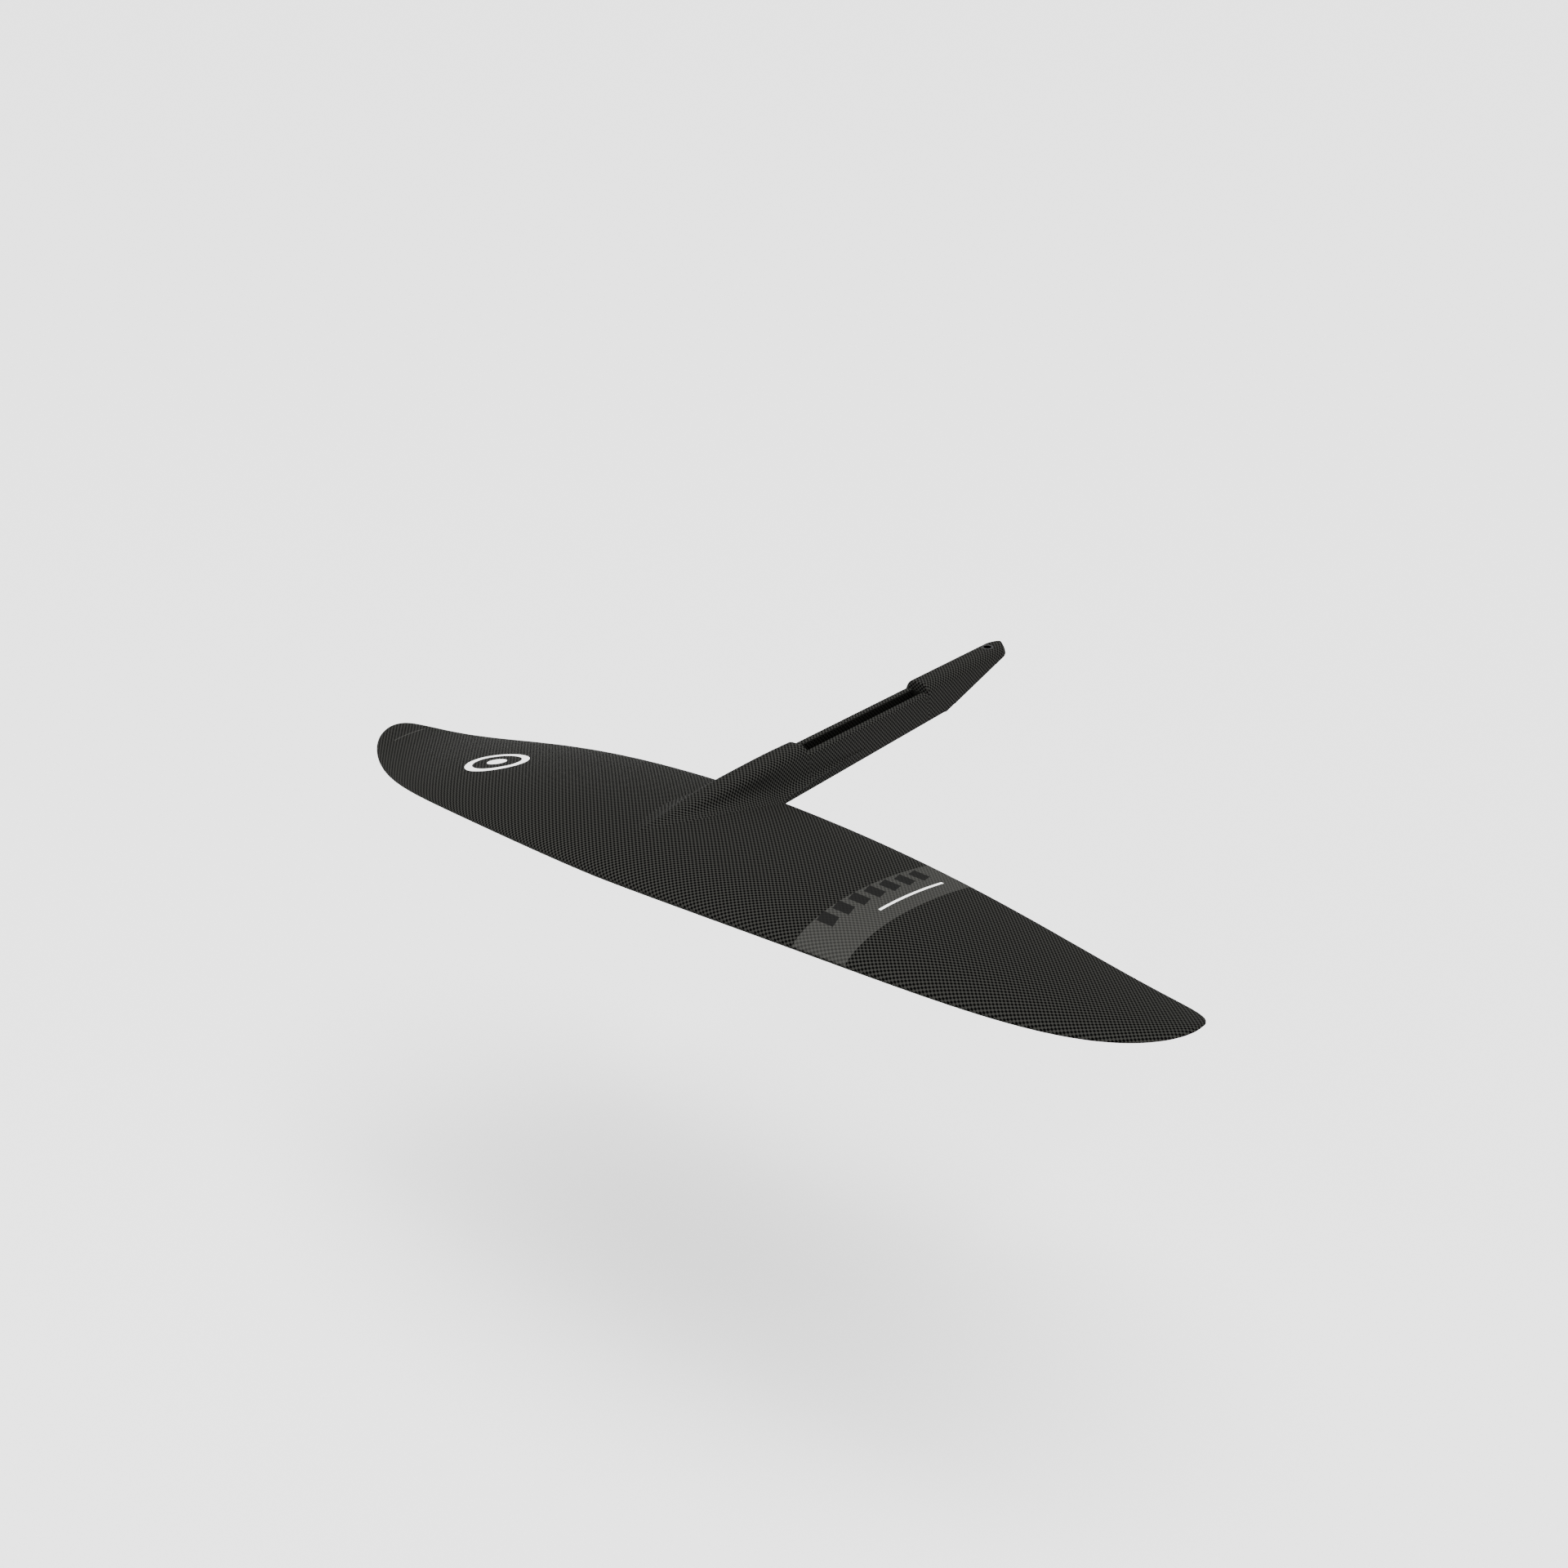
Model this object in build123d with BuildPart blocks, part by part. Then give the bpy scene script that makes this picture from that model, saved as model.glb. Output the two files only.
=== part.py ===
"""Hydrofoil front wing with its own fuselage, mast socket and tail joint.

Millimetres.  +X runs along the span, +Y runs back to the tail, +Z is up.
The origin is on the floor of the mast slot, midway between the two mast bolts.
Pieces that are glued together are kept apart by one bond line.
"""
import math
import os

from build123d import *

os.makedirs("parts", exist_ok=True)

# --- planform of the wing -------------------------------------------------
half_span = 373.8            # centre line to wing tip
root_chord = 171.7           # leading edge to trailing edge on the centre line
root_edge_y = -290.0         # leading edge on the centre line
root_edge_z = 2.6            # height of the leading edge on the centre line
taper_power = 1.6            # how late along the span the chord starts to shrink
taper_root = 0.45            # how round the wing tip is in plan
line_share = 0.6             # share of the chord ahead of the reference line
line_sweep = 68.6            # how far the reference line runs back towards the tip
line_return = 16.9           # how far the last part of that line turns forward again
droop_sweep = 65.6           # fall of the wing, second power of the span
droop_middle = 30.4          # fall of the wing, fourth power of the span
droop_return = 53.1          # levelling of the tip, sixth power of the span
incidence = 1.5              # degrees, the chord rises towards the front

# --- wing section ---------------------------------------------------------
root_thickness = 0.12        # thickness over chord on the centre line
tip_thickness = 0.095        # thickness over chord at the tip
camber = 0.035               # height of the camber line over chord
camber_place = 0.4           # where the camber is highest, over chord
edge_thickness = 0.8         # blunt trailing edge

# --- wing pieces ----------------------------------------------------------
bond_gap = 0.1               # glue line between any two pieces
core_gap = 0.2               # thicker glue line between the fuselage shell and what it holds
nose_share = 0.06            # chord share of the solid leading edge
spar_front = 0.26            # chord share where the spar starts
spar_back = 0.38             # chord share where the spar ends
edge_share = 0.85            # chord share where the solid trailing edge starts
skin_thickness = 1.0         # skin on the centre line, it thins with the chord
cap_thickness = 1.3          # spar cap on the centre line, it thins with the chord
tip_start = 0.97             # share of the half span where the solid tip starts
tip_end = 0.9995             # share of the half span where the tip is closed

# --- fuselage -------------------------------------------------------------
body_width = 22.0            # side to side
shell_thickness = 3.2        # laminate of the fuselage
crown_radius = 8.0           # rounding of the top edges of both humps
keel_radius = 0.8            # rounding of the bottom edges under the front hump
rim_radius = 2.0             # rounding of the outer edges of the socket rims
slot_length = 148.0          # front hump to rear hump
slot_width = 9.1             # gap the mast tongue goes into
slot_depth = 17.0            # rim to slot floor
socket_end = 6.0             # socket wall past each end of the slot
front_crown_z = 23.4         # top of the front hump where it meets the slot
rear_crown_z = 24.4          # top of the rear hump
keel_front_y = -100.0        # deepest point of the keel
keel_front_z = -13.5         # height of the keel there
keel_back_y = 98.0           # where the scarf starts
keel_back_z = -6.4           # height of the keel there
scarf_rise = 0.287           # height gained per millimetre along the scarf
tail_y = 187.0               # rear end of the fuselage
nose_y = -262.0              # front end of the fuselage, buried in the wing
shell_front_y = -232.0       # where the shell comes clear of the wing
core_front_y = -198.0        # where the foam inside the front hump starts

# --- fillets between wing and fuselage --------------------------------------
fillet_foot = 1.4            # thickness of the fillets where they run past the wing
fillet_tuck = 0.15           # how far their edge is let into the wing surface
fillet_buried = 0.7          # where they start inside the fuselage, share of its half width
fillet_lean = 0.12           # how far out the curve is pulled, share of its reach
fillet_lift = 0.1            # how far up the curve is pulled, share of its rise

# --- bolts ------------------------------------------------------------------
bolt_spacing = 90.0          # between the two mast bolts
bolt_clearance = 0.6         # hole diameter over screw diameter
bolt_size = 6.0              # screw diameter
ferrule_width = 14.0         # outside diameter of the mast ferrules
ferrule_cover = 2.5          # socket floor left above each mast ferrule
sink_width = 12.4            # mouth of the countersink for the screw head
tail_bolt_y = 169.0          # tail bolt position
tail_ferrule_width = 10.0    # outside diameter of the tail ferrule

# --- blocks and cylinders that only cut, larger than what they cut --------------
cut_low = -40.0
cut_high = 60.0
cut_height = 100.0
cut_width = 60.0
cut_length = 400.0
root_reach = 45.0            # half span of the wing shape the fuselage is cut away from

# --- how curves are drawn ----------------------------------------------------------
span_steps = 12              # loft stations from the centre line to the tip joint
tip_steps = 5                # loft stations along a tip
root_steps = 3               # loft stations along each side of the wing root shape
points_per_curve = 11
least_reach = 0.8            # smallest half width of a hump section
least_radius = 0.4           # smallest rounding of an inner section
crown_share = 0.8            # largest rounding of a hump, share of its half width
keel_share = 0.3             # largest rounding of its keel, share of its half width

# --- sizes that follow ---------------------------------------------------------------
hole_radius = (bolt_size + bolt_clearance) / 2
half_body = body_width / 2
half_slot = slot_length / 2
rim_z = slot_depth


def chord(share):
    """Chord at a share of the half span, from the centre line to the tip."""
    return root_chord * (1 - abs(share) ** taper_power) ** taper_root


def edge_y(share):
    """Leading edge position at a share of the half span."""
    reference = line_share * root_chord + line_sweep * share**2 - line_return * share**4
    return root_edge_y + reference - line_share * chord(share)


def droop(share):
    """How far the wing has fallen at a share of the half span."""
    return droop_sweep * share**2 + droop_middle * share**4 - droop_return * share**6


def half_thickness(along, ratio):
    """Half thickness over chord of a section with a closed trailing edge."""
    roots = 0.2969 * math.sqrt(along) - 0.1260 * along
    powers = -0.3516 * along**2 + 0.2843 * along**3 - 0.1036 * along**4
    return 5 * ratio * (roots + powers)


def camber_line(along):
    """Height of the camber line over chord."""
    if along < camber_place:
        return camber / camber_place**2 * (2 * camber_place * along - along**2)
    rest = 1 - 2 * camber_place + 2 * camber_place * along - along**2
    return camber / (1 - camber_place) ** 2 * rest


def wing_point(share, along, side, inset=0.0):
    """Point (y, z) on the section; side is 1 for upper, -1 for lower."""
    length = chord(share)
    ratio = root_thickness + (tip_thickness - root_thickness) * abs(share)
    y = edge_y(share) + along * length
    slope = -math.tan(math.radians(incidence)) * (y - root_edge_y)
    middle = root_edge_z + slope - droop(share) + length * camber_line(along)
    half = length * half_thickness(along, ratio) + along * edge_thickness / 2
    return (y, middle + side * (half - inset))


def wing_curve(share, first, last, side, inset=0.0):
    """Points along one side of the section, front to back."""
    steps = points_per_curve - 1
    marks = [first + (last - first) * step / steps for step in range(points_per_curve)]
    return [wing_point(share, along, side, inset) for along in marks]


def nose_curve(share, last, grow=0.0):
    """Points from the upper side round the leading edge to the lower side."""
    steps = 2 * points_per_curve
    points = []
    for step in range(steps + 1):
        turn = 1 - 2 * step / steps
        side = 1 if turn >= 0 else -1
        y, z = wing_point(share, last * turn**2, side, -grow)
        points.append((y - grow * (1 - 2 * turn**2), z))
    return points


def span_plane(x):
    """Plane across the span, drawn as (y, z)."""
    return Plane(origin=(x, 0, 0), x_dir=(0, 1, 0), z_dir=(1, 0, 0))


def length_plane(y):
    """Plane across the fuselage, drawn as (x, z)."""
    return Plane(origin=(0, y, 0), x_dir=(1, 0, 0), z_dir=(0, -1, 0))


def both_halves():
    """Stations from one tip joint to the other, as shares of the half span."""
    half = [tip_start * math.sin(math.pi / 2 * step / span_steps) for step in range(span_steps + 1)]
    return [-share for share in reversed(half[1:])] + half


def one_half(side):
    """Stations from just beside the centre line to one tip joint."""
    stations = [share for share in both_halves() if share > 0]
    return [side * share for share in [bond_gap / half_span / 2] + stations]


def strip_face(share, upper, lower):
    """Close two curves that run front to back into one face."""
    with BuildSketch(span_plane(share * half_span)) as strip:
        with BuildLine():
            top = Spline(*upper)
            bottom = Spline(*lower)
            Line(top @ 0, bottom @ 0)
            Line(top @ 1, bottom @ 1)
        make_face()
    return strip.sketch


def thin(share, amount):
    """A laminate thickness that shrinks with the chord."""
    return amount * chord(share) / root_chord


def gap_share(share):
    """The bond line as a share of the local chord."""
    return bond_gap / chord(share)


# --- skins ------------------------------------------------------------------
def skin_face(share, side):
    front = nose_share + gap_share(share)
    back = edge_share - gap_share(share)
    outer = wing_curve(share, front, back, side)
    inner = wing_curve(share, front, back, side, thin(share, skin_thickness))
    return strip_face(share, outer, inner)


with BuildPart() as upper_skin:
    loft([skin_face(share, 1) for share in both_halves()])
upper_skin.part.label = "upper_skin"
export_step(upper_skin.part, "parts/upper_skin.step")

with BuildPart() as lower_skin:
    loft([skin_face(share, -1) for share in both_halves()])
lower_skin.part.label = "lower_skin"
export_step(lower_skin.part, "parts/lower_skin.step")


# --- solid leading and trailing edges ----------------------------------------
def nose_face(share):
    with BuildSketch(span_plane(share * half_span)) as nose:
        with BuildLine():
            around = Spline(*nose_curve(share, nose_share))
            Line(around @ 0, around @ 1)
        make_face()
    return nose.sketch


with BuildPart() as leading_edge:
    loft([nose_face(share) for share in both_halves()])
leading_edge.part.label = "leading_edge"
export_step(leading_edge.part, "parts/leading_edge.step")

with BuildPart() as trailing_edge:
    loft([strip_face(share, wing_curve(share, edge_share, 1, 1), wing_curve(share, edge_share, 1, -1))
          for share in both_halves()])
trailing_edge.part.label = "trailing_edge"
export_step(trailing_edge.part, "parts/trailing_edge.step")


# --- spar ---------------------------------------------------------------------
def cap_face(share, side):
    outside = thin(share, skin_thickness) + bond_gap
    inside = outside + thin(share, cap_thickness)
    outer = wing_curve(share, spar_front, spar_back, side, outside)
    inner = wing_curve(share, spar_front, spar_back, side, inside)
    return strip_face(share, outer, inner)


def core_face(share, front, back, depth):
    first = front + gap_share(share)
    last = back - gap_share(share)
    upper = wing_curve(share, first, last, 1, depth)
    lower = wing_curve(share, first, last, -1, depth)
    return strip_face(share, upper, lower)


def spar_core_face(share):
    depth = thin(share, skin_thickness + cap_thickness) + 2 * bond_gap
    return core_face(share, spar_front, spar_back, depth)


def foam_face(share, front, back):
    return core_face(share, front, back, thin(share, skin_thickness) + bond_gap)


with BuildPart() as spar_cap_upper:
    loft([cap_face(share, 1) for share in both_halves()])
spar_cap_upper.part.label = "spar_cap_upper"
export_step(spar_cap_upper.part, "parts/spar_cap_upper.step")

with BuildPart() as spar_cap_lower:
    loft([cap_face(share, -1) for share in both_halves()])
spar_cap_lower.part.label = "spar_cap_lower"
export_step(spar_cap_lower.part, "parts/spar_cap_lower.step")

with BuildPart() as spar_core:
    loft([spar_core_face(share) for share in both_halves()])
spar_core.part.label = "spar_core"
export_step(spar_core.part, "parts/spar_core.step")

# --- foam cores, one to each side of the centre line ---------------------------
with BuildPart() as front_core_right:
    loft([foam_face(share, nose_share, spar_front) for share in one_half(1)])
front_core_right.part.label = "front_core_right"
export_step(front_core_right.part, "parts/front_core_right.step")

with BuildPart() as front_core_left:
    loft([foam_face(share, nose_share, spar_front) for share in one_half(-1)])
front_core_left.part.label = "front_core_left"
export_step(front_core_left.part, "parts/front_core_left.step")

with BuildPart() as rear_core_right:
    loft([foam_face(share, spar_back, edge_share) for share in one_half(1)])
rear_core_right.part.label = "rear_core_right"
export_step(rear_core_right.part, "parts/rear_core_right.step")

with BuildPart() as rear_core_left:
    loft([foam_face(share, spar_back, edge_share) for share in one_half(-1)])
rear_core_left.part.label = "rear_core_left"
export_step(rear_core_left.part, "parts/rear_core_left.step")


# --- solid tips -----------------------------------------------------------------
def whole_face(x, grow=0.0):
    """Whole wing section at a span position."""
    share = x / half_span
    with BuildSketch(span_plane(x)) as whole:
        with BuildLine():
            around = Spline(*nose_curve(share, 1.0, grow))
            Line(around @ 0, around @ 1)
        make_face()
    return whole.sketch


def tip_positions(side):
    start = tip_start * half_span + bond_gap
    reach = tip_end * half_span - start
    marks = [math.sin(math.pi / 2 * step / tip_steps) for step in range(tip_steps + 1)]
    return [side * (start + reach * mark) for mark in marks]


with BuildPart() as tip_right:
    loft([whole_face(x) for x in tip_positions(1)])
tip_right.part.label = "tip_right"
export_step(tip_right.part, "parts/tip_right.step")

with BuildPart() as tip_left:
    loft([whole_face(x) for x in tip_positions(-1)])
tip_left.part.label = "tip_left"
export_step(tip_left.part, "parts/tip_left.step")


# --- wing shape that the fuselage pieces are cut away from -----------------------
with BuildPart() as wing_root:
    loft([whole_face(root_reach * step / root_steps, bond_gap)
          for step in range(-root_steps, root_steps + 1)])


# --- outside of the fuselage, at any depth below its surface ---------------------
def keel_at(y):
    """Height of the keel line at a position along the fuselage."""
    slope = (keel_back_z - keel_front_z) / (keel_back_y - keel_front_y)
    return keel_front_z + slope * (y - keel_front_y)


# Front hump stations: position, half width, top, bottom.
front_stations = [
    (nose_y, 1.5, 9.0, 3.0),
    (-246.0, 3.2, 15.6, -1.5),
    (-230.0, 5.5, 18.2, -4.5),
    (-205.0, 8.8, 19.6, -8.0),
    (-166.0, 10.8, 22.4, -11.6),
    (-132.0, half_body, front_crown_z, -13.2),
    (keel_front_y, half_body, front_crown_z + 0.6, keel_front_z),
    (-half_slot, half_body, front_crown_z, keel_at(-half_slot)),
]


def corner(x, z, radius, side, rise):
    """Rounded corner of a section, drawn outward from the flat edge."""
    half = radius * math.sqrt(0.5)
    flat_end = (x - side * radius, z)
    middle = (x - side * (radius - half), z - rise * (radius - half))
    side_end = (x, z - rise * radius)
    return ThreePointArc(flat_end, middle, side_end)


def hump_face(y, half, top, bottom, inset):
    """Fuselage section with round top edges and small round bottom edges."""
    y = min(y, -half_slot - inset)
    reach = max(half - inset, least_reach)
    low = bottom + inset
    high = max(top - inset, low + 2 * reach)
    crown = min(crown_radius - inset, crown_share * reach)
    keel = min(keel_radius, keel_share * reach)
    with BuildSketch(length_plane(y)) as hump:
        with BuildLine():
            top_right = corner(reach, high, crown, 1, 1)
            top_left = corner(-reach, high, crown, -1, 1)
            low_right = corner(reach, low, keel, 1, -1)
            low_left = corner(-reach, low, keel, -1, -1)
            Line(top_left @ 0, top_right @ 0)
            Line(top_right @ 1, low_right @ 1)
            Line(low_right @ 0, low_left @ 0)
            Line(low_left @ 1, top_left @ 1)
        make_face()
    return hump.sketch


def straight_body(front, back, top, radius, inset):
    """Straight length of fuselage between two positions."""
    with BuildPart() as straight:
        with BuildSketch(length_plane(front)) as outline:
            with Locations((0, (top - inset + cut_low) / 2)):
                Rectangle(body_width - 2 * inset, top - inset - cut_low)
            fillet(outline.vertices().sort_by(Axis.Y)[2:], max(radius - inset, least_radius))
        extrude(amount=-(back - front))
    return straight.part


def keel_body(inset):
    """Side view of everything above the keel and the scarf."""
    lift = inset * math.sqrt(1 + scarf_rise**2)
    front_y = -half_slot - inset
    end_y = tail_y - inset
    scarf_z = keel_back_z + scarf_rise * (end_y - keel_back_y)
    with BuildPart() as above:
        with BuildSketch(Plane.YZ):
            with BuildLine():
                Polyline(
                    (front_y, keel_at(front_y) + inset),
                    (keel_back_y, keel_back_z + lift),
                    (end_y, scarf_z + lift),
                    (end_y, cut_high),
                    (front_y, cut_high),
                    close=True,
                )
            make_face()
        extrude(amount=body_width, both=True)
    return above.part


def plan_body(inset):
    """Plan view of the rear fuselage with its round end."""
    reach = half_body - inset
    front_y = -half_slot - inset
    with BuildPart() as plan:
        with BuildSketch(Plane.XY.offset(cut_low)):
            with BuildLine():
                left = Line((-reach, front_y), (-reach, tail_y - half_body))
                right = Line((reach, front_y), (reach, tail_y - half_body))
                ThreePointArc(left @ 1, (0, tail_y - inset), right @ 1)
                Line(left @ 0, right @ 0)
            make_face()
        extrude(amount=cut_high - cut_low)
    return plan.part


def fuselage_body(inset):
    """Outside of the whole fuselage, moved in by an inset."""
    faces = [hump_face(y, half, top, bottom, inset) for y, half, top, bottom in front_stations]
    with BuildPart() as body:
        add(straight_body(-half_slot - inset, half_slot + inset, rim_z, rim_radius, inset))
        add(straight_body(half_slot + inset, tail_y, rear_crown_z, crown_radius, inset))
        add(keel_body(inset), mode=Mode.INTERSECT)
        add(plan_body(inset), mode=Mode.INTERSECT)
        loft(faces)
    return body.part


def ahead_of(y):
    """Block that covers everything ahead of a position."""
    with BuildPart() as block:
        with Locations((0, y - cut_length / 2, 0)):
            Box(cut_width, cut_length, cut_height)
    return block.part


def behind(y):
    """Block that covers everything behind a position."""
    with BuildPart() as block:
        with Locations((0, y + cut_length / 2, 0)):
            Box(cut_width, cut_length, cut_height)
    return block.part


# --- laminate of the fuselage ------------------------------------------------------
mast_bolts = [(0, -bolt_spacing / 2), (0, bolt_spacing / 2)]
socket_top = rim_z - shell_thickness - core_gap
socket_reach = half_body - shell_thickness
inner_inset = shell_thickness + core_gap

with BuildPart() as fuselage_shell:
    add(fuselage_body(0.0))
    add(fuselage_body(shell_thickness), mode=Mode.SUBTRACT)
    with Locations((0, 0, rim_z)):
        Box(2 * socket_reach, slot_length, 4 * shell_thickness, mode=Mode.SUBTRACT)
    add(wing_root.part, mode=Mode.SUBTRACT)
    add(ahead_of(shell_front_y), mode=Mode.SUBTRACT)
    with Locations(*[(x, y, -cut_height / 2) for x, y in mast_bolts]):
        Cylinder(ferrule_width / 2 + bond_gap, cut_height, mode=Mode.SUBTRACT)
    with Locations((0, tail_bolt_y, 0)):
        Cylinder(tail_ferrule_width / 2 + bond_gap, cut_height, mode=Mode.SUBTRACT)
fuselage_shell.part.label = "fuselage_shell"
export_step(fuselage_shell.part, "parts/fuselage_shell.step")

# --- cores inside the fuselage -------------------------------------------------------
with BuildPart() as socket_room:
    with Locations((0, 0, socket_top + bond_gap - cut_height / 2)):
        Box(cut_width, slot_length + 2 * socket_end + 2 * bond_gap, cut_height)

with BuildPart() as nose_core:
    add(fuselage_body(inner_inset))
    add(behind(-half_slot), mode=Mode.SUBTRACT)
    add(socket_room.part, mode=Mode.SUBTRACT)
    add(wing_root.part, mode=Mode.SUBTRACT)
    add(ahead_of(core_front_y), mode=Mode.SUBTRACT)
nose_core.part.label = "nose_core"
export_step(nose_core.part, "parts/nose_core.step")

with BuildPart() as tail_core:
    add(fuselage_body(inner_inset))
    add(ahead_of(half_slot), mode=Mode.SUBTRACT)
    add(socket_room.part, mode=Mode.SUBTRACT)
    with Locations((0, tail_bolt_y, 0)):
        Cylinder(tail_ferrule_width / 2 + bond_gap, cut_height, mode=Mode.SUBTRACT)
tail_core.part.label = "tail_core"
export_step(tail_core.part, "parts/tail_core.step")

# --- mast socket ------------------------------------------------------------------------
with BuildPart() as mast_socket:
    add(fuselage_body(inner_inset))
    with Locations((0, 0, socket_top - cut_height / 2)):
        Box(cut_width, slot_length + 2 * socket_end, cut_height, mode=Mode.INTERSECT)
    with Locations((0, 0, rim_z / 2)):
        Box(2 * (socket_reach - bond_gap), slot_length - 2 * bond_gap, rim_z)
    with Locations((0, 0, slot_depth)):
        Box(slot_width, slot_length, 2 * slot_depth, mode=Mode.SUBTRACT)
    with Locations(*[(x, y, 0) for x, y in mast_bolts]):
        Cylinder(hole_radius, cut_height, mode=Mode.SUBTRACT)
    with Locations(*[(x, y, -ferrule_cover - cut_height / 2) for x, y in mast_bolts]):
        Cylinder(ferrule_width / 2 + bond_gap, cut_height, mode=Mode.SUBTRACT)
mast_socket.part.label = "mast_socket"
export_step(mast_socket.part, "parts/mast_socket.step")


# --- metal ferrules the screws pull on ------------------------------------------------------
def mast_ferrule(y):
    """Ferrule under the socket floor with a countersink for the screw head."""
    top = -ferrule_cover - bond_gap
    bottom = keel_at(y + ferrule_width / 2)
    sink = (sink_width - 2 * hole_radius) / 2
    with BuildPart() as ferrule:
        with Locations((0, y, (top + bottom) / 2)):
            Cylinder(ferrule_width / 2, top - bottom)
            Cylinder(hole_radius, cut_height, mode=Mode.SUBTRACT)
        with Locations((0, y, bottom + sink / 2)):
            Cone(sink_width / 2, hole_radius, sink, mode=Mode.SUBTRACT)
    return ferrule.part


with BuildPart() as mast_ferrule_front:
    add(mast_ferrule(-bolt_spacing / 2))
mast_ferrule_front.part.label = "mast_ferrule_front"
export_step(mast_ferrule_front.part, "parts/mast_ferrule_front.step")

with BuildPart() as mast_ferrule_rear:
    add(mast_ferrule(bolt_spacing / 2))
mast_ferrule_rear.part.label = "mast_ferrule_rear"
export_step(mast_ferrule_rear.part, "parts/mast_ferrule_rear.step")

with BuildPart() as tail_ferrule:
    with Locations((0, tail_bolt_y, rear_crown_z - cut_high / 2)):
        Cylinder(tail_ferrule_width / 2, cut_high)
    add(keel_body(bond_gap), mode=Mode.INTERSECT)
    with Locations((0, tail_bolt_y, 0)):
        Cylinder(hole_radius, cut_height, mode=Mode.SUBTRACT)
tail_ferrule.part.label = "tail_ferrule"
export_step(tail_ferrule.part, "parts/tail_ferrule.step")


# --- fillets between the fuselage sides and the wing ---------------------------------------
def wing_top(x, y):
    """Height of the upper wing surface, or of its trailing edge further back."""
    share = x / half_span
    along = min((y - edge_y(share)) / chord(share), 1.0)
    return wing_point(share, along, 1)[1]


# Fillet stations: position, outer edge from the centre line, height on the side.
fillet_stations = [
    (-214.0, 14.0, 19.0),
    (-200.0, 18.5, 19.4),
    (-180.0, 23.0, 18.6),
    (-150.0, 26.2, 17.6),
    (-118.0, 24.8, 15.0),
    (-95.0, 18.6, 11.5),
    (-60.0, 15.2, 6.5),
    (-20.0, 12.0, 2.0),
]
fillet_turn = 4              # station at the trailing edge, where the foot levels out


def fillet_face(y, outer, top, side):
    """Concave section leaning on the fuselage side."""
    buried = fillet_buried * half_body
    foot = wing_top(outer, y) - fillet_tuck
    start = (side * buried, top)
    pull_x = half_body + fillet_lean * (outer - half_body)
    pull = (side * pull_x, foot + fillet_lift * (top - foot))
    end = (side * outer, foot)
    with BuildSketch(length_plane(y)) as face:
        with BuildLine():
            Bezier(start, pull, end)
            Polyline(end, (side * outer, foot - fillet_foot), (side * buried, foot - fillet_foot), start)
        make_face()
    return face.sketch


def root_fillet(side):
    faces = [fillet_face(y, outer, top, side) for y, outer, top in fillet_stations]
    with BuildPart() as fillet_piece:
        loft(faces[: fillet_turn + 1])
        loft(faces[fillet_turn:])
        add(wing_root.part, mode=Mode.SUBTRACT)
        add(fuselage_body(-bond_gap), mode=Mode.SUBTRACT)
    return fillet_piece.part


with BuildPart() as root_fillet_right:
    add(root_fillet(1))
root_fillet_right.part.label = "root_fillet_right"
export_step(root_fillet_right.part, "parts/root_fillet_right.step")

with BuildPart() as root_fillet_left:
    add(root_fillet(-1))
root_fillet_left.part.label = "root_fillet_left"
export_step(root_fillet_left.part, "parts/root_fillet_left.step")
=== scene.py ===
# %% [markdown]
# A carbon hydrofoil front wing
#
# The real object is the front wing of a hydrofoil: one piece of woven carbon fibre, made of a
# swept, drooped wing and a slim fuselage with an open slot for the mast. This lesson loads the
# engineering model as a fixed frame, then lays finely curved skins over it, because a moulded
# carbon skin has no visible joints and its curves have to be smooth to reflect light well.

# %% Load the frame
import math

import bmesh
import bpy
import numpy as np
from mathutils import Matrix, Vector


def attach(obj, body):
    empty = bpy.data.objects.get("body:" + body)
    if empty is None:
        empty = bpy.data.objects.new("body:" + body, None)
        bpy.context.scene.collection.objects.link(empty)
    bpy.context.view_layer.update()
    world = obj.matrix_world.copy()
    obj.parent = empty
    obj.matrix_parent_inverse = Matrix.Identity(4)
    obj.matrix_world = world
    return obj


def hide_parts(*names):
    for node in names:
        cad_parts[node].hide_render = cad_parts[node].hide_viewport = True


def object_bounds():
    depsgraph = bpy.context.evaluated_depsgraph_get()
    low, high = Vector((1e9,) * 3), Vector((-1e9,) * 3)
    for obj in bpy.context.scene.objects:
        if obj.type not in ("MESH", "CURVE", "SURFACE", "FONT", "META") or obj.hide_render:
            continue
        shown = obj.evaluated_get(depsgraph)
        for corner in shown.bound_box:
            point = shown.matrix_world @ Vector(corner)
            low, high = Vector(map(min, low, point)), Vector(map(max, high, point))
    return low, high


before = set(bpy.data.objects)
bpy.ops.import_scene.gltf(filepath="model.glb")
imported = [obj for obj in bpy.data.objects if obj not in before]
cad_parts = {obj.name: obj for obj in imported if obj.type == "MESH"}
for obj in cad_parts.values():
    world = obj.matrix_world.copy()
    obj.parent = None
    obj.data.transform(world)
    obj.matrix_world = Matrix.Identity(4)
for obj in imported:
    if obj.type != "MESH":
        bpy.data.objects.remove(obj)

cad_low, cad_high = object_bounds()
print("frame nodes:", len(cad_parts))
print("frame box in mm:", [round(1000 * v, 1) for v in (*cad_low, *cad_high)])

# %% [markdown]
# The camera
#
# A camera is a lens length, a sensor width, a place and a direction. A 50 mm lens on a 36 mm
# sensor is close to how a product is usually shot: long enough that the near wing tip doesn't
# balloon.

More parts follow.
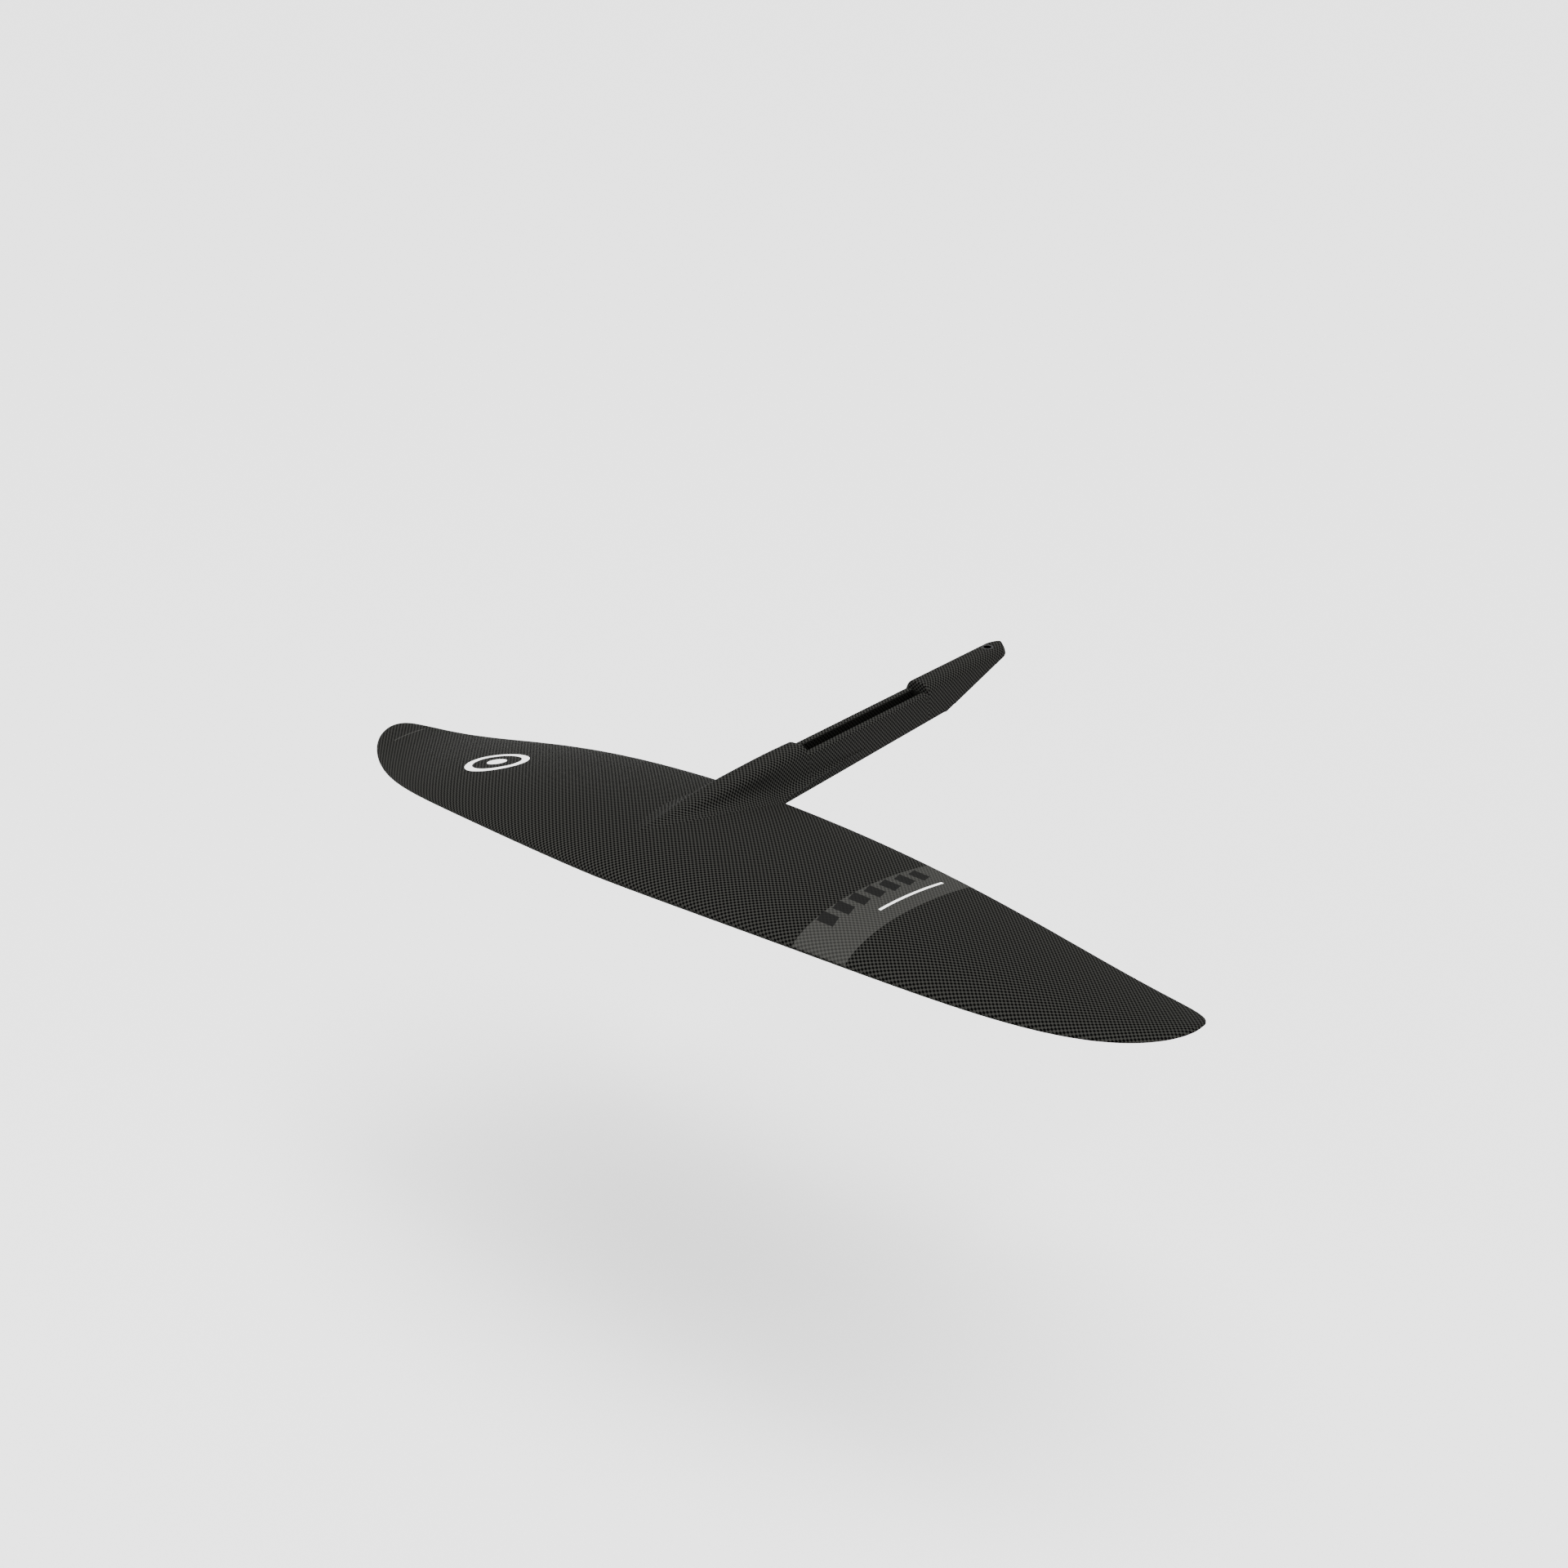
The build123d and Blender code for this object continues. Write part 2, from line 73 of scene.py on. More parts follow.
# %% Camera
camera_data = bpy.data.cameras.new("camera")
camera_data.lens = 50.0
camera_data.sensor_width = 36.0
camera_data.clip_start = 0.01
camera = bpy.data.objects.new("camera", camera_data)
bpy.context.scene.collection.objects.link(camera)
camera.location = (0.90940, -1.20185, 0.66414)
look = Vector((-0.57396, 0.70190, -0.42179))
camera.rotation_euler = look.to_track_quat("-Z", "Y").to_euler()
bpy.context.scene.camera = camera
print("camera at", tuple(round(v, 3) for v in camera.location))


# %% [markdown]
# Colours
#
# A hex colour is written for a screen, on a curve that follows the eye. A shader adds and
# multiplies light, so it needs the linear value. One function turns the one into the other.

# %% Colour helper
def linear(code, alpha=1.0):
    """Turn an sRGB hex colour into the linear values that a shader works with."""
    parts = [int(code[i : i + 2], 16) / 255 for i in (1, 3, 5)]
    values = [p / 12.92 if p <= 0.04045 else ((p + 0.055) / 1.055) ** 2.4 for p in parts]
    return (*values, alpha)


print("mid grey #808080 is", round(linear("#808080")[0], 3), "in linear light")


# %% [markdown]
# Nodes
#
# A material is a small network of nodes. One function that adds a node, sets it and links it
# keeps each material below as short as a list of its steps.

# %% Node helper
def add(tree, kind, links=None, **settings):
    """Add one node, give it its settings, and link or set its inputs.

    links maps an input name or number to another node's output, or to a plain value.
    """
    node = tree.nodes.new(kind)
    for name, value in settings.items():
        setattr(node, name, value)
    for key, value in (links or {}).items():
        if isinstance(value, bpy.types.NodeSocket):
            tree.links.new(value, node.inputs[key])
        else:
            node.inputs[key].default_value = value
    return node


def new_material(name):
    """Start an empty node material and return it with its tree and output."""
    material = bpy.data.materials.new(name)
    material.use_nodes = True
    tree = material.node_tree
    tree.nodes.clear()
    return material, tree, tree.nodes.new("ShaderNodeOutputMaterial")


# %% [markdown]
# The floor
#
# The floor is a plain pale sheet well under the wing, as if the wing hung on threads, so that
# its shadow is too soft to hide the edges. It is made far larger than the view, because the
# far end of a small sheet would show as a line behind the wing.

# %% Floor
def paper_material():
    """Matt white background paper with a very faint grain."""
    material, tree, output = new_material("background_paper")
    place = add(tree, "ShaderNodeTexCoord")
    grain = add(tree, "ShaderNodeTexNoise", {"Vector": place.outputs["Object"], "Scale": 400.0})
    shade = add(tree, "ShaderNodeValToRGB", {"Fac": grain.outputs["Fac"]})
    shade.color_ramp.elements[0].color = linear("#f8f8f8")
    shade.color_ramp.elements[1].color = linear("#fcfcfc")
    surface = {"Base Color": shade.outputs["Color"], "Roughness": 0.9}
    paper = add(tree, "ShaderNodeBsdfPrincipled", surface)
    tree.links.new(paper.outputs["BSDF"], output.inputs["Surface"])
    return material


floor_gap = 0.35
floor_mesh = bpy.data.meshes.new("floor")
floor_size, floor_z = 60.0, cad_low[2] - floor_gap
floor_mesh.from_pydata(
    [(x * floor_size, y * floor_size, floor_z) for x, y in ((-1, -1), (1, -1), (1, 1), (-1, 1))],
    [],
    [(0, 1, 2, 3)],
)
floor = bpy.data.objects.new("floor", floor_mesh)
bpy.context.scene.collection.objects.link(floor)
floor.data.materials.append(paper_material())
print("floor at", round(1000 * floor_z, 1), "mm")

# %% [markdown]
# The light
#
# A sun with a very wide disc stands in for a ceiling of light: it lights the floor evenly to
# its far end, and gives soft shadows. An area light would do it near the wing, but it fades
# with distance. A weak softbox at the front opens up the sides that face the camera.

# %% Light
world = bpy.data.worlds.new("studio")
world.use_nodes = True
world.node_tree.nodes["Background"].inputs["Color"].default_value = linear("#ffffff")
world.node_tree.nodes["Background"].inputs["Strength"].default_value = 1.0
bpy.context.scene.world = world


def softbox(name, place, aim, size, power):
    """A square area light aimed at a point."""
    data = bpy.data.lights.new(name, "AREA")
    data.size = size
    data.energy = power
    box = bpy.data.objects.new(name, data)
    bpy.context.scene.collection.objects.link(box)
    box.location = place
    box.rotation_euler = (Vector(aim) - Vector(place)).to_track_quat("-Z", "Y").to_euler()
    return box


sky = bpy.data.lights.new("overhead", "SUN")
sky.energy = 6.5
sky.angle = math.radians(50)
overhead = bpy.data.objects.new("overhead", sky)
bpy.context.scene.collection.objects.link(overhead)
overhead.rotation_euler = (math.radians(6), math.radians(8), 0)
softbox("front_fill", (-0.6, -2.6, 1.3), (0, 0, 0), 1.5, 34.0)

# %% [markdown]
# Sizes of the wing
#
# Everything below is worked out in millimetres and turned to metres once, when a mesh is made.
# The sizes are the ones the engineering model was drawn from, so that the skins lie on its
# solids. Each is named, so that a learner can change one and see what it does.

# %% Sizes of the wing
half_span = 373.8
tip_end = 0.9995
root_chord = 171.7
root_edge_y, root_edge_z = -290.0, 2.6
taper_power, taper_root = 1.6, 0.45
line_share, line_sweep, line_return = 0.6, 68.6, 16.9
droop_sweep, droop_middle, droop_return = 65.6, 30.4, 53.1
incidence = 1.5
root_thickness, tip_thickness = 0.12, 0.095
camber, camber_place = 0.035, 0.4
edge_thickness = 0.8
print("span in mm:", 2 * half_span)

# %% [markdown]
# Sizes of the fuselage
#
# The fuselage is a slim beam with a slot for the mast, held by two screws from below, and a
# sloped tail with one hole. Y is given where a size is a place along the fuselage.

# %% Sizes of the fuselage
half_body = 11.0
crown_radius, rim_radius, keel_radius = 8.0, 2.0, 2.0
half_slot = 74.0
slot_width, slot_depth = 9.1, 17.0
liner_wall = 0.3
rear_crown_z = 24.4
keel_front_y, keel_front_z = -100.0, -13.5
keel_back_y, keel_back_z = 98.0, -6.4
scarf_rise = 0.287
tail_y = 187.0
bolt_y, tail_bolt_y = 45.0, 169.0
hole_radius = 3.3
mast_ferrule_radius, tail_ferrule_radius = 7.0, 5.0
print("fuselage width in mm:", 2 * half_body)


# %% [markdown]
# The wing as one surface of two parameters
#
# One parameter runs along the span from tip to tip, the other runs round the section from the
# upper trailing edge over the nose to the lower trailing edge. The position round the section is
# squared to give the place along the chord, which packs the rows closely where the nose is
# tightly curved. A sine does the same along the span, so the round tips stay round.

# %% Planform and section
def chord_at(share):
    """Root chord times (1 - share^1.6)^0.45: nearly an ellipse, a little fuller outboard."""
    return root_chord * (1 - np.abs(share) ** taper_power) ** taper_root


def nose_at(share):
    """Leading edge: a swept reference line at 60% of the chord, less 60% of the local chord."""
    line = line_share * root_chord + line_sweep * share**2 - line_return * share**4
    return root_edge_y + line - line_share * chord_at(share)


def droop_at(share):
    """Fall of the wing: even powers of the span, so that it is smooth across the middle."""
    return droop_sweep * share**2 + droop_middle * share**4 - droop_return * share**6


def half_thickness(along, ratio):
    """The usual four-digit thickness curve, closed at the trailing edge."""
    roots = 0.2969 * np.sqrt(along) - 0.1260 * along
    return 5 * ratio * (roots - 0.3516 * along**2 + 0.2843 * along**3 - 0.1036 * along**4)


def camber_at(along):
    """Two parabolas that meet, level, at the highest point of the camber line."""
    front = camber / camber_place**2 * (2 * camber_place * along - along**2)
    rest = 1 - 2 * camber_place + 2 * camber_place * along - along**2
    return np.where(along < camber_place, front, camber / (1 - camber_place) ** 2 * rest)


def wing_height(x, y, side):
    """Height of the wing at a place in plan; behind the trailing edge it stays level."""
    share = x / half_span
    length = chord_at(share)
    along = np.clip((y - nose_at(share)) / length, 0, 1)
    slope = np.tan(np.radians(incidence)) * (nose_at(share) + along * length - root_edge_y)
    ratio = root_thickness + (tip_thickness - root_thickness) * np.abs(share)
    blunt = along * edge_thickness / 2 * np.minimum(1, length / 20)
    half = length * half_thickness(along, ratio) + blunt
    return root_edge_z - slope - droop_at(share) + length * camber_at(along) + side * half


print("chord at the root and at 90% in mm:", root_chord, round(float(chord_at(0.9)), 1))


# %% [markdown]
# Mesh helpers
#
# A grid of points needs three things to become a piece: its faces, its mesh and the way the
# cloth lies on it. Numpy works out all the corners at once, which is quicker than a loop and
# reads like the formula.

# %% Mesh helpers
def grid_faces(rows, columns, close):
    """Quads between neighbouring rows; close joins the last column to the first."""
    row = np.arange(rows - 1)[:, None] * columns
    column = np.arange(columns if close else columns - 1)[None, :]
    following = (column + 1) % columns
    return np.stack(
        [row + column, row + following, row + columns + following, row + columns + column], -1
    ).reshape(-1, 4)


def make_object(name, points, faces):
    """Mesh object from points in millimetres; its object stays at the origin."""
    mesh = bpy.data.meshes.new(name)
    mesh.from_pydata((points.reshape(-1, 3) / 1000).tolist(), [], [list(f) for f in faces])
    mesh.polygons.foreach_set("use_smooth", np.ones(len(mesh.polygons), bool))
    mesh.update()
    made = bpy.data.objects.new(name, mesh)
    bpy.context.scene.collection.objects.link(made)
    return made


def set_cloth(made, uv):
    """Store the way the cloth lies, in metres, as a UV map with one value for each point."""
    layer = made.data.uv_layers.new(name="cloth")
    corners = np.zeros(len(made.data.loops), np.int64)
    made.data.loops.foreach_get("vertex_index", corners)
    layer.data.foreach_set("uv", (uv.reshape(-1, 2) / 1000)[corners].astype(np.float32).ravel())


def report(made):
    """Print the size and the triangle count of a piece."""
    data = made.data
    triangles = sum(len(p.vertices) - 2 for p in data.polygons)
    co = np.zeros(len(data.vertices) * 3, np.float32)
    data.vertices.foreach_get("co", co)
    size = 1000 * np.ptp(co.reshape(-1, 3), axis=0)
    print(made.name, "size in mm", [round(float(v), 1) for v in size], "triangles", triangles)


# %% [markdown]
# The wing skin
#
# The wing is moulded in two halves that are bonded at the edges. One closed surface stands
# for both, because the bond is sanded flush. Two separate skins would show a line of light.
# The order of the corners decides which way a face looks. Here the quads look inwards and the
# fans at the tips the other way, which is a known fault: it does not show in a render that
# draws both sides of a face, but it does in a viewer that hides the backs.

# %% Wing skin
def wing_skin():
    """Closed wing: span parameter times the turn round the section, with a pole at each tip.

    y = nose + turn^2 * chord, z = wing height on the side that the turn's sign gives.
    """
    rows, half_columns = 321, 56
    share = tip_end * np.sin(np.linspace(-np.pi / 2, np.pi / 2, rows))[:, None]
    turn = np.concatenate([np.linspace(1, 0, half_columns), np.linspace(0, -1, half_columns)[1:]])
    along = np.broadcast_to(turn**2, (rows, len(turn)))
    side = np.where(turn >= 0, 1.0, -1.0)[None, :]
    x = np.broadcast_to(share * half_span, along.shape)
    y = nose_at(share) + along * chord_at(share)
    z = wing_height(x, y, side)
    points = np.stack([x, y, z], -1)
    # The cloth follows the surface: its second direction is the distance round the section.
    steps = np.linalg.norm(np.diff(points, axis=1), axis=-1)
    travel = np.concatenate([np.zeros((rows, 1)), np.cumsum(steps, 1)], 1)
    middle = half_columns - 1
    upper_mid, lower_mid = middle // 3, 2 * middle - middle // 3
    upper = y[:, upper_mid : upper_mid + 1] - (travel - travel[:, upper_mid : upper_mid + 1])
    lower = y[:, lower_mid : lower_mid + 1] + (travel - travel[:, lower_mid : lower_mid + 1])
    across = np.where(np.arange(len(turn))[None, :] <= middle, upper, lower)
    cloth = np.stack([x, across], -1)
    poles = points[[0, -1]].mean(axis=1)
    flat = np.concatenate([points.reshape(-1, 3), poles])
    cloth = np.concatenate([cloth.reshape(-1, 2), poles[:, :2]])
    columns = len(turn)
    # The corner order is turned round here, and that is what makes the quads look inwards.
    quads = grid_faces(rows, columns, True)[:, ::-1].tolist()
    first, last = rows * columns, rows * columns + 1
    ring = np.arange(columns)
    base = (rows - 1) * columns
    start = np.stack([np.full(columns, first), ring, (ring + 1) % columns], -1)[:, ::-1]
    end = np.stack([np.full(columns, last), base + (ring + 1) % columns, base + ring], -1)[:, ::-1]
    made = make_object("wing_skin", flat, quads + start.tolist() + end.tolist())
    set_cloth(made, cloth)
    upper_side = np.concatenate([np.broadcast_to(turn > 0.02, along.shape).ravel(), [False, False]])
    attribute = made.data.attributes.new("upper_side", "FLOAT", "POINT")
    attribute.data.foreach_set("value", upper_side.astype(np.float32))
    return made


wing = wing_skin()
report(wing)

# %% [markdown]
# The fuselage as rings that change shape
#
# The fuselage is a stack of rings, all with the same number of points, so that a rounded hump
# can turn into an open slot and back. Each ring runs from the top centre over the round
# shoulder, down the side, out along the hollow flare that meets the wing, back under it and
# down to the keel. Where the slot ends, two rings share one position and make the flat end wall.
# The sizes that change along it are short tables, read through a smooth curve.


# %% Smooth tables
def smooth(table, y):
    """Cubic curve through the rows of a table; each row's slope comes from its neighbours."""
    knots, values = np.array(table, float).T
    slopes = np.gradient(values, knots)
    low = np.clip(np.searchsorted(knots, y) - 1, 0, len(knots) - 2)
    step = knots[low + 1] - knots[low]
    t = np.clip((y - knots[low]) / step, 0, 1)
    start = (1 + 2 * t) * (1 - t) ** 2 * values[low] + t * (1 - t) ** 2 * step * slopes[low]
    end = t**2 * (3 - 2 * t) * values[low + 1] + t**2 * (t - 1) * step * slopes[low + 1]
    return start + end


width_table = [(-246, 1.0), (-235, 2.8), (-225, 4.8), (-215, 7.0), (-205, 8.8)]
width_table += [(-190, 10.0), (-166, 10.7), (-140, 11.0), (-100, 11.0), (195, 11.0)]
crown_table = [(-246, 17.15), (-240, 17.9), (-235, 18.35), (-225, 18.95), (-205, 19.9)]
crown_table += [(-190, 21.0), (-166, 22.3), (-132, 23.3), (-100, 23.8), (-76, 23.4)]
flare_width = [(-246, 1.4), (-245, 3.0), (-235, 7.5), (-225, 11.0), (-215, 14.0), (-205, 16.8)]
flare_width += [(-195, 19.0), (-185, 20.5), (-165, 22.8), (-150, 24.0), (-122, 24.5)]
flare_width += [(-114, 21.6), (-108, 19.5), (-88, 18.3), (-67, 15.8), (-46, 13.8), (-20, 11.4)]
flare_width += [(-5, 11.05), (195, 11.05)]
flare_top = [(-246, 17.1), (-235, 18.1), (-225, 18.5), (-205, 18.7), (-180, 17.6), (-150, 16.6)]
flare_top += [(-118, 14.0), (-95, 11.0), (-60, 6.5), (-20, 2.0), (0, 1.0), (195, 1.0)]
keel_table = [(-246, 0.0), (-230, -4.0), (-205, -8.0), (-166, -11.6), (-132, -13.2), (-100, -13.5)]
print("fuselage tables hold", len(width_table) + len(crown_table) + len(flare_width), "rows")

# %% [markdown]
# One ring of the fuselage
#
# A ring is put together from simple runs: a straight top or a slot, a round shoulder, a curve
# with two handles for the flare, and a rounded keel. Each run always has as many points, so
# that neighbouring rings join without a twist.

# %% Fuselage ring
end_round = 2.0
flare_crease = 0.22
liner_gap = 0.05
liner_half = slot_width / 2 + liner_wall
skin_slot_half = liner_half + liner_gap
liner_floor = 0.6
skin_slot_floor = -liner_floor - liner_gap


def crown_at(y):
    """Height of the hump, eased down over a small radius towards the slot."""
    front = smooth(crown_table, y)
    level = front if y < 0 else rear_crown_z
    past = np.clip(end_round - (abs(y) - half_slot), 0, end_round)
    return level - end_round + math.sqrt(end_round**2 - past**2)


def keel_height(y):
    """Underside: rising gently to the start of the scarf, then at the slope of the scarf."""
    if y < keel_front_y:
        return float(smooth(keel_table, y))
    if y < keel_back_y:
        share = (y - keel_front_y) / (keel_back_y - keel_front_y)
        return keel_front_z + share * (keel_back_z - keel_front_z)
    return keel_back_z + scarf_rise * (y - keel_back_y)


def arc(centre, radius, start, end, count):
    """Points on a circle; angles are in degrees from straight up, clockwise."""
    angle = np.radians(np.linspace(start, end, count))
    return np.stack([centre[0] + radius * np.sin(angle), centre[1] + radius * np.cos(angle)], -1)


def run(start, end, count):
    """Evenly spaced points of a straight line."""
    return np.linspace(start, end, count)


def ring(y, slotted):
    """Right half of the section at y, from top centre to bottom centre, as (x, z) rows."""
    half = float(smooth(width_table, y))
    low = keel_height(y)
    if slotted:
        top, shoulder = slot_depth, rim_radius
        edge, inner = 0.5, skin_slot_half
        wall = run((inner, skin_slot_floor), (inner, top - edge), 5)
        first = np.concatenate(
            [
                run((0, skin_slot_floor), (inner, skin_slot_floor), 4)[:-1],
                wall[:-1],
                arc((inner + edge, top - edge), edge, -90, 0, 4),
                run((inner + edge, top), (half - shoulder, top), 3)[1:-1],
            ]
        )
    else:
        top, shoulder = crown_at(y), min(crown_radius, 0.95 * half)
        first = run((0, top), (half - shoulder, top), 13)[:-1]
    side_z = min(float(smooth(flare_top, y)), top - 0.02)
    turn = math.degrees(math.acos(max(0.0, 1 - (top - side_z) / shoulder)))
    bend = arc((half - shoulder, top - shoulder), shoulder, 0, turn, 14)
    begin = np.array([half, side_z]) if turn > 89.9 else bend[-1]
    out_x = max(float(smooth(flare_width, y)), half + 0.05)
    out_z = float(wing_height(out_x, y, 1)) - 0.12
    slope = float(wing_height(out_x + 1, y, 1) - wing_height(out_x - 1, y, 1)) / 2
    finish = np.array([out_x, out_z])
    pull = 0.48 * np.linalg.norm(finish - begin)
    lead = begin + pull * np.array([math.cos(math.radians(turn)), -math.sin(math.radians(turn))])
    # The flare lands at a small angle, which leaves the soft crease that a mould seam has.
    slope -= flare_crease
    trail = finish - pull * np.array([1.0, slope]) / math.hypot(1, slope)
    if out_x < half + 0.1:
        lead, trail = begin, finish
    t = np.linspace(0, 1, 18)[:, None]
    flare = (1 - t) ** 3 * begin + 3 * t * (1 - t) ** 2 * lead
    flare = flare + 3 * t**2 * (1 - t) * trail + t**3 * finish
    foot_x = out_x - 0.5 * min(1.0, out_x - half)
    keel_turn = min(keel_radius, 0.45 * half) if y < keel_back_y else 0.4
    under = np.array([(foot_x, out_z - 0.7), (half, out_z - 1.3)])
    down = run((half, out_z - 1.3), (half, low + keel_turn), 4)[1:-1]
    round_keel = arc((half - keel_turn, low + keel_turn), keel_turn, 90, 180, 6)
    bottom = run((half - keel_turn, low), (0, low), 4)[1:]
    points = np.concatenate([first, bend, flare[0 if turn > 89.9 else 1 :], under, down])
    if turn <= 89.9:
        points = np.insert(points, len(first) + len(bend), bend[-1], axis=0)
    points = np.concatenate([points, round_keel, bottom])
    reach = half
    if not slotted and top - low < shoulder:
        reach = half - shoulder + math.sqrt(shoulder**2 - (shoulder - (top - low)) ** 2)
    if y > 0:
        points[:, 0] = np.minimum(points[:, 0], reach)
        points[:, 1] = np.maximum(points[:, 1], low)
    if y > tail_y - half_body:
        points[:, 0] *= math.sqrt(max(0.0, half_body**2 - (y - tail_y + half_body) ** 2)) / half_body
    return points


trial_rings = [ring(-150.0, False), ring(0.0, True), ring(150.0, False)]
print("points in a ring:", *[len(points) for points in trial_rings])


# %% [markdown]
# The fuselage skin
#
# The rings are stacked close together where the shape turns and further apart where it is
# straight. Points that coincide, as at the tail, are merged afterwards. On the end walls the
# cloth is laid flat, because it would be drawn out into stripes there.

# %% Fuselage skin
def clean(made):
    """Merge points that coincide and drop faces with no area, then make normals face outward."""
    work = bmesh.new()
    work.from_mesh(made.data)
    bmesh.ops.remove_doubles(work, verts=work.verts, dist=2e-6)
    bmesh.ops.dissolve_degenerate(work, edges=work.edges, dist=2e-6)
    bmesh.ops.recalc_face_normals(work, faces=work.faces)
    open_edges = sum(len(edge.link_faces) != 2 for edge in work.edges)
    work.to_mesh(made.data)
    work.free()
    print(made.name, "edges without two faces:", open_edges)


def fuselage_skin():
    """Closed skin: position along the fuselage times the turn round the ring, both mirrored."""
    end_turn = np.linspace(0, np.pi / 2, 6)
    tail_turn = np.linspace(0, np.pi / 2, 16)
    into_slot = -half_slot - end_round * np.cos(end_turn)
    front = np.concatenate([run(-246, -200, 32), run(-198, -76.2, 50), into_slot])
    slot_part = run(-half_slot, half_slot, 50)
    out_of_slot = half_slot + end_round * (1 - np.cos(end_turn))
    tail_end = tail_y - half_body * (1 - np.sin(tail_turn))
    rear = np.concatenate([out_of_slot, run(79, 174, 34), tail_end])
    stations = [(y, False) for y in front] + [(y, True) for y in slot_part]
    stations += [(y, False) for y in rear]
    halves = np.array([ring(float(y), slotted) for y, slotted in stations])
    places = np.array([y for y, _ in stations])
    mirrored = halves[:, -2:0:-1] * np.array([-1.0, 1.0])
    section = np.concatenate([halves, mirrored], axis=1)
    y = np.broadcast_to(places[:, None], section.shape[:2])
    points = np.stack([section[..., 0], y, section[..., 1]], -1)
    steps = np.linalg.norm(np.diff(halves, axis=1), axis=-1)
    travel = np.concatenate([np.zeros((len(places), 1)), np.cumsum(steps, 1)], 1)
    around = np.concatenate([travel, -travel[:, -2:0:-1]], 1)
    cloth = np.stack([around, y], -1)
    rows, columns = points.shape[:2]
    nose = points[0].mean(axis=0)
    flat = np.concatenate([points.reshape(-1, 3), [nose]])
    cloth = np.concatenate([cloth.reshape(-1, 2), [[0, nose[1]]]])
    index = np.arange(columns)
    cap = np.stack([np.full(columns, rows * columns), index, (index + 1) % columns], -1)
    faces = grid_faces(rows, columns, True).tolist() + cap.tolist()
    made = make_object("fuselage_skin", flat, faces)
    set_cloth(made, cloth)
    clean(made)
    return made


def lay_ends(made):
    """Lay the cloth flat, across and up, on every face that looks along the fuselage."""
    data = made.data
    normals = np.zeros(len(data.polygons) * 3, np.float32)
    data.polygons.foreach_get("normal", normals)
    counts = np.zeros(len(data.polygons), np.int64)
    data.polygons.foreach_get("loop_total", counts)
    corners = np.zeros(len(data.loops), np.int64)
    data.loops.foreach_get("vertex_index", corners)
    places = np.zeros(len(data.vertices) * 3, np.float32)
    data.vertices.foreach_get("co", places)
    uv = np.zeros(len(data.loops) * 2, np.float32)
    data.uv_layers["cloth"].data.foreach_get("uv", uv)
    uv = uv.reshape(-1, 2)
    ends = np.repeat(np.abs(normals.reshape(-1, 3)[:, 1]) > 0.9, counts)
    uv[ends] = places.reshape(-1, 3)[corners[ends]][:, [0, 2]]
    data.uv_layers["cloth"].data.foreach_set("uv", uv.ravel())
    print(made.name, "corners laid flat at the ends:", int(ends.sum()))


fuselage = fuselage_skin()
lay_ends(fuselage)
report(fuselage)


# %% [markdown]
# Holes
#
# The screw holes are drilled after moulding, and the same is done here: a cylinder is cut
# away from the skin and the result kept as a mesh, so that nothing depends on the cutter.

# %% Holes
hole_corners = 48
sharp_angle = math.radians(35)


def drill(made, holes):
    """Cut round holes, each given as (x, y, bottom, top, radius), and keep the result as a mesh."""
    for x, y, bottom, top, radius in holes:
        angle = np.linspace(0, 2 * np.pi, hole_corners, endpoint=False)
        circle = np.stack([x + radius * np.cos(angle), y + radius * np.sin(angle)], -1)
        low = np.column_stack([circle, np.full(hole_corners, bottom)])
        high = np.column_stack([circle, np.full(hole_corners, top)])
        index = np.arange(hole_corners)
        following = (index + 1) % hole_corners
        upper, upper_following = index + hole_corners, following + hole_corners
        sides = np.stack([index, following, upper_following, upper], -1)
        faces = sides.tolist() + [index[::-1].tolist(), upper.tolist()]
        cutter = make_object("cutter", np.concatenate([low, high]), faces)
        cut = made.modifiers.new("hole", "BOOLEAN")
        cut.operation, cut.solver, cut.object = "DIFFERENCE", "EXACT", cutter
        bpy.context.view_layer.update()
        shown = made.evaluated_get(bpy.context.evaluated_depsgraph_get())
        result = bpy.data.meshes.new_from_object(shown)
        made.modifiers.clear()
        made.data = result
        bpy.data.objects.remove(cutter)
    print(made.name, "holes:", len(holes))


ferrule_cover = 2.5
pocket = ferrule_cover + 0.05
drill(
    fuselage,
    [(0, side * bolt_y, -40, -pocket, mast_ferrule_radius + 0.05) for side in (-1, 1)]
    + [(0, side * bolt_y, -pocket - 1, 5, hole_radius) for side in (-1, 1)]
    + [(0, tail_bolt_y, -10, 40, tail_ferrule_radius + 0.05)],
)
fuselage.data.set_sharp_from_angle(angle=sharp_angle)
report(fuselage)

# %% [markdown]
# The socket liner
#
# The mast slides into a moulded tray. It is a thin open box with round holes in its floor for
# the two screws. A U-shaped profile run along the slot, with a wall at each end, gives it.


# %% Socket liner
def socket_liner():
    """Tray: outside box, top rim, inside box, as four loops of four corners."""
    outside = (liner_half, half_slot - liner_gap)
    inside = (slot_width / 2, half_slot - liner_gap - liner_wall)
    top = slot_depth - 0.6
    loops = [(outside, -liner_floor), (outside, top), (inside, top), (inside, 0.0)]
    corners = ((-1, -1), (1, -1), (1, 1), (-1, 1))
    points = np.array([[(sx * half[0], sy * half[1], z) for sx, sy in corners] for half, z in loops])
    faces = grid_faces(4, 4, True).tolist() + [[3, 2, 1, 0], [12, 13, 14, 15]]
    made = make_object("socket_liner", points, faces)
    # The cloth runs up the walls: its second direction adds height to the place across.
    across = np.abs(points[..., 0]) + points[..., 2]
    set_cloth(made, np.stack([across * np.sign(points[..., 0]), points[..., 1]], -1))
    clean(made)
    return made


liner = socket_liner()
drill(liner, [(0, side * bolt_y, -5, 5, hole_radius) for side in (-1, 1)])
liner.data.set_sharp_from_angle(angle=sharp_angle)
report(liner)

